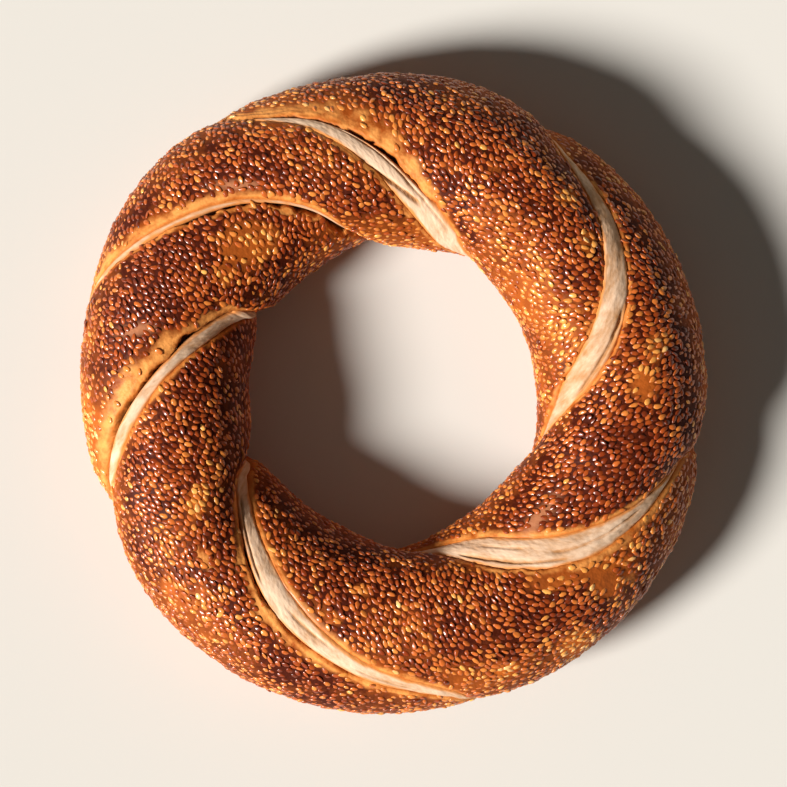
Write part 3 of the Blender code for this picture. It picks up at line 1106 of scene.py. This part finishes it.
# %% The seeds' materials
SEED_COLOURS = {
    "dark": ("#8a340c", "#501803"),
    "chestnut": ("#a94a16", "#742b0a"),
    "brown": ("#c96728", "#903c12"),
    "amber": ("#de8538", "#ad541d"),
    "golden": ("#efa650", "#c26d27"),
    "pale": ("#f3c27a", "#d58a42"),
}
for kind, (light, dark) in SEED_COLOURS.items():
    material, tree, shader = new_material(f"sesame {kind}", 0.36, 0.30, 0.50, 0.13)
    position = own_position(tree)
    amount = maths(tree, "MULTIPLY_ADD", attribute(tree, "tone"), 0.35, 0.35)
    amount = maths(tree, "MULTIPLY_ADD", maths(tree, "POWER", attribute(tree, "tip"), 3.0), 0.5, amount)
    shell = placed(tree, browning, {"Position": position, "Pale": linear(light), "Brown": linear(dark),
                                    "Amount": amount, "Mottle": 0.25, "Lumps per metre": 900.0})
    connect(tree, shader, {"Base Color": shell.outputs["Colour"]})
    skin = placed(tree, baked_skin, {"Position": position, "Pimples per metre": 3000.0, "Wrinkle": 0.3})
    bump(tree, shader, skin.outputs["Height"], 0.25, 0.12 * MM)
    dress(material, [seeds[kind]])

# %% [markdown]
# ## Floor, light and camera
#
# A plain pale floor and one large soft light low on the left. The light could be a lamp near the ring, but
# the floor would then darken away from it, so a sun lamp as wide as a big studio light is used. The
# sky is dim overhead, to leave the shade its depth, and near the horizon as pale as the floor, as
# a studio's backdrop is. The camera looks straight down, as one looks at a tray.

# %% The floor
FLOOR_SIZE = 400.0
floor_mesh = bpy.data.meshes.new("floor")
far = FLOOR_SIZE / 2
floor_mesh.from_pydata([(-far, -far, 0), (far, -far, 0), (far, far, 0), (-far, far, 0)], [], [(0, 1, 2, 3)])
floor = bpy.data.objects.new("floor", floor_mesh)
bpy.context.scene.collection.objects.link(floor)
material, tree, shader = new_material("pale floor", 0.95, 0.0, 0.0, 0.5)
connect(tree, shader, {"Base Color": linear("#cdcac4")})
dress(material, [floor])

# %% The lights
KEY_AZIMUTH, KEY_HEIGHT, KEY_DISTANCE = 206, 36, 3.0
KEY_SPREAD, KEY_STRENGTH = 17, 7.2
BACKDROP = linear("#e4ddd2")
OVERHEAD = tuple(0.09 * value for value in linear("#f4ede2"))
FADE_FROM, FADE_TO = 0.06, 0.18
world = bpy.data.worlds.new("sky")
bpy.context.scene.world = world
world.use_nodes = True
sky = world.node_tree
direction = node(sky, "ShaderNodeTexCoord").outputs["Generated"]
height = node(sky, "ShaderNodeSeparateXYZ", {"Vector": direction}).outputs["Z"]
fade = node(sky, "ShaderNodeMapRange", {"Value": height, "From Min": FADE_FROM, "From Max": FADE_TO},
            interpolation_type="SMOOTHSTEP").outputs["Result"]
connect(sky, sky.nodes["Background"], {"Color": mix_colours(sky, fade, BACKDROP, OVERHEAD)})

key_data = bpy.data.lights.new("key", "SUN")
key_data.energy = KEY_STRENGTH
key_data.angle = math.radians(KEY_SPREAD)
key_data.color = (1.0, 0.97, 0.93)
key = bpy.data.objects.new("key", key_data)
bpy.context.scene.collection.objects.link(key)
flat = KEY_DISTANCE * math.cos(math.radians(KEY_HEIGHT))
key.location = (flat * math.cos(math.radians(KEY_AZIMUTH)), flat * math.sin(math.radians(KEY_AZIMUTH)),
                KEY_DISTANCE * math.sin(math.radians(KEY_HEIGHT)))
key.rotation_euler = (-key.location).to_track_quat("-Z", "Y").to_euler()
print(f"sun {KEY_SPREAD} degrees wide, {KEY_HEIGHT} degrees up")

# %% The camera
CAMERA_HEIGHT = 1.6
RING_SHARE = 0.80
camera_data = bpy.data.cameras.new("camera")
camera_data.angle = 2 * math.atan((BOX_WIDTH / RING_SHARE / 2) / (CAMERA_HEIGHT - BOX_HEIGHT / 2))
camera_data.clip_end = 100
camera = bpy.data.objects.new("camera", camera_data)
bpy.context.scene.collection.objects.link(camera)
camera.location = (0, 0, CAMERA_HEIGHT)
bpy.context.scene.camera = camera
bpy.context.scene.view_settings.view_transform = "Standard"
print(f"camera {CAMERA_HEIGHT} m up, {math.degrees(camera_data.angle):.2f} degrees wide")
